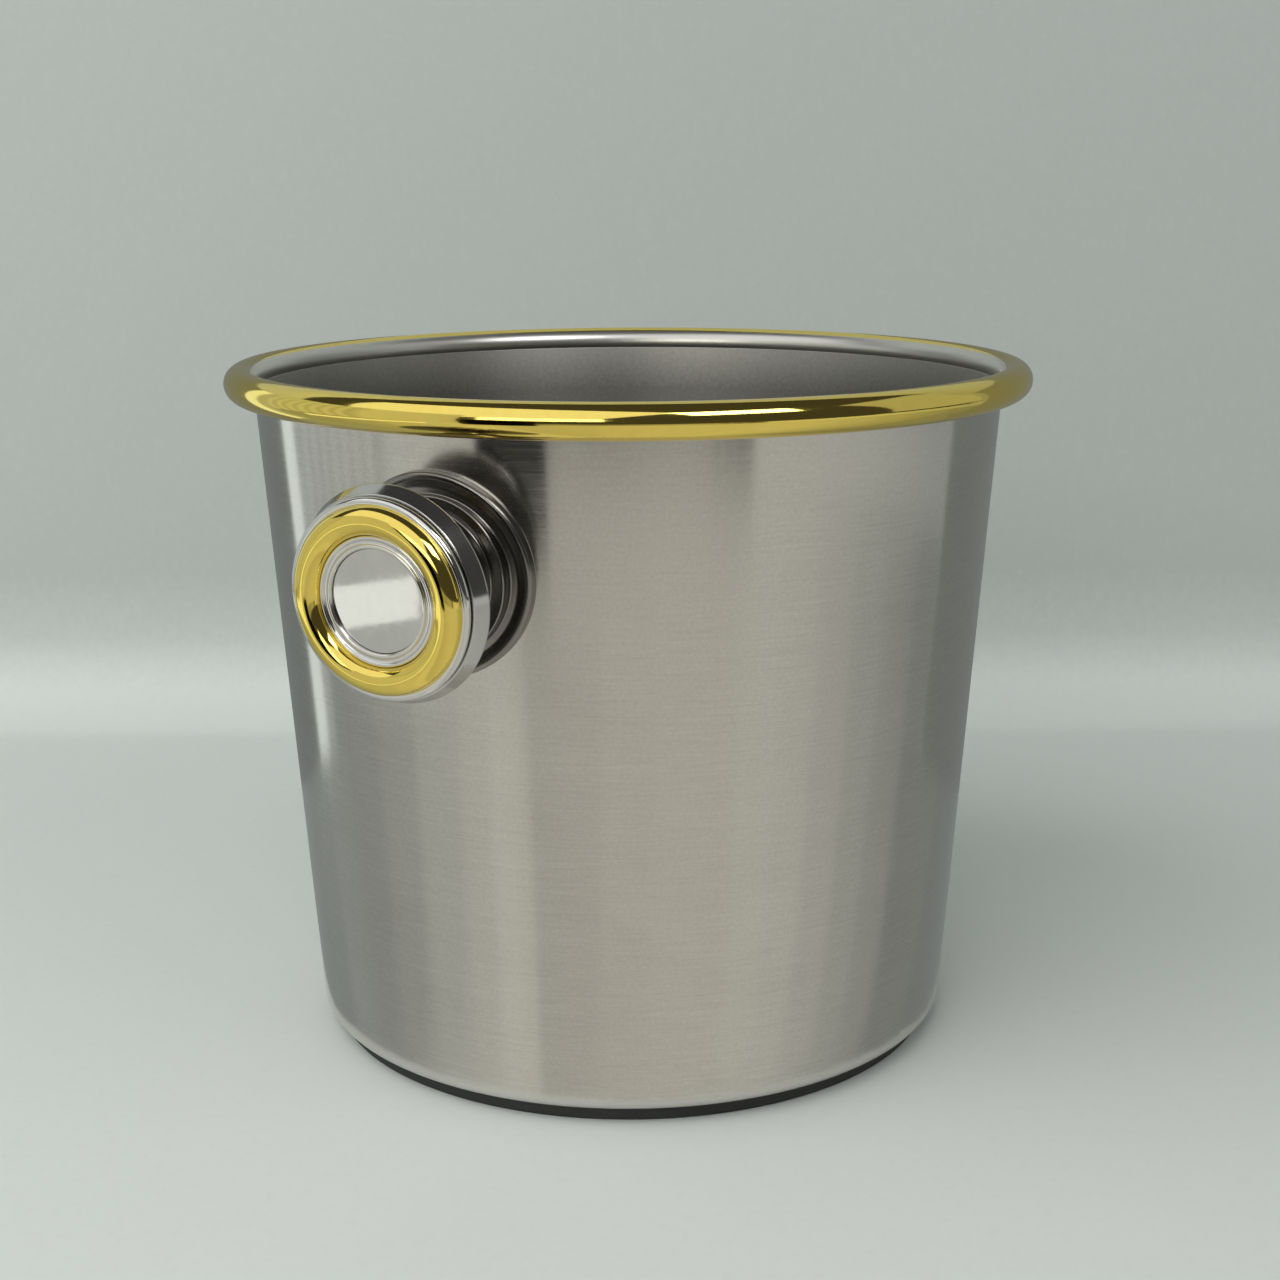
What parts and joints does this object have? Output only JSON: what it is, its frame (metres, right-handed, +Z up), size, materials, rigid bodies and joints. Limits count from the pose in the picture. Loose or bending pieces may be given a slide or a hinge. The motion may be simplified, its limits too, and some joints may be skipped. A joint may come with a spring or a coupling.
{
  "type": "champagne bucket",
  "caption": "Tapered satin steel wine bucket with a gilt tubular rim, a black foot pad and fixed knob handles on both sides.",
  "frame": {"origin": "middle of the standing face under the bucket", "axes": "+Z up along the bucket's axis, +X along the line through both knobs, towards the right knob"},
  "size_m": [0.2784, 0.2364, 0.2],
  "materials": {
    "satin_steel": "fine grain running round the bucket, satin",
    "polished_gilt": "polished pale gold plate",
    "polished_chrome": "polished",
    "mirror_face": "polished flat",
    "black_rubber": "matte moulded",
    "seal_rubber": "matte",
    "plain_steel": "turned stainless"
  },
  "bodies": {
    "root": {"bucket_shell": "satin_steel", "rim_tube": "polished_gilt", "foot_pad": "black_rubber", "left_rosette": "polished_chrome", "left_rosette_gasket": "seal_rubber", "left_neck": "polished_chrome", "left_knob_body": "polished_chrome", "left_gilt_ring": "polished_gilt", "left_bezel": "polished_chrome", "left_mirror_disc": "mirror_face", "left_stud": "plain_steel", "left_seal_washer": "seal_rubber", "left_steel_washer": "plain_steel", "left_cap_nut": "plain_steel", "right_rosette": "polished_chrome", "right_rosette_gasket": "seal_rubber", "right_neck": "polished_chrome", "right_knob_body": "polished_chrome", "right_gilt_ring": "polished_gilt", "right_bezel": "polished_chrome", "right_mirror_disc": "mirror_face", "right_stud": "plain_steel", "right_seal_washer": "seal_rubber", "right_steel_washer": "plain_steel", "right_cap_nut": "plain_steel"}
  },
  "joints": []
}
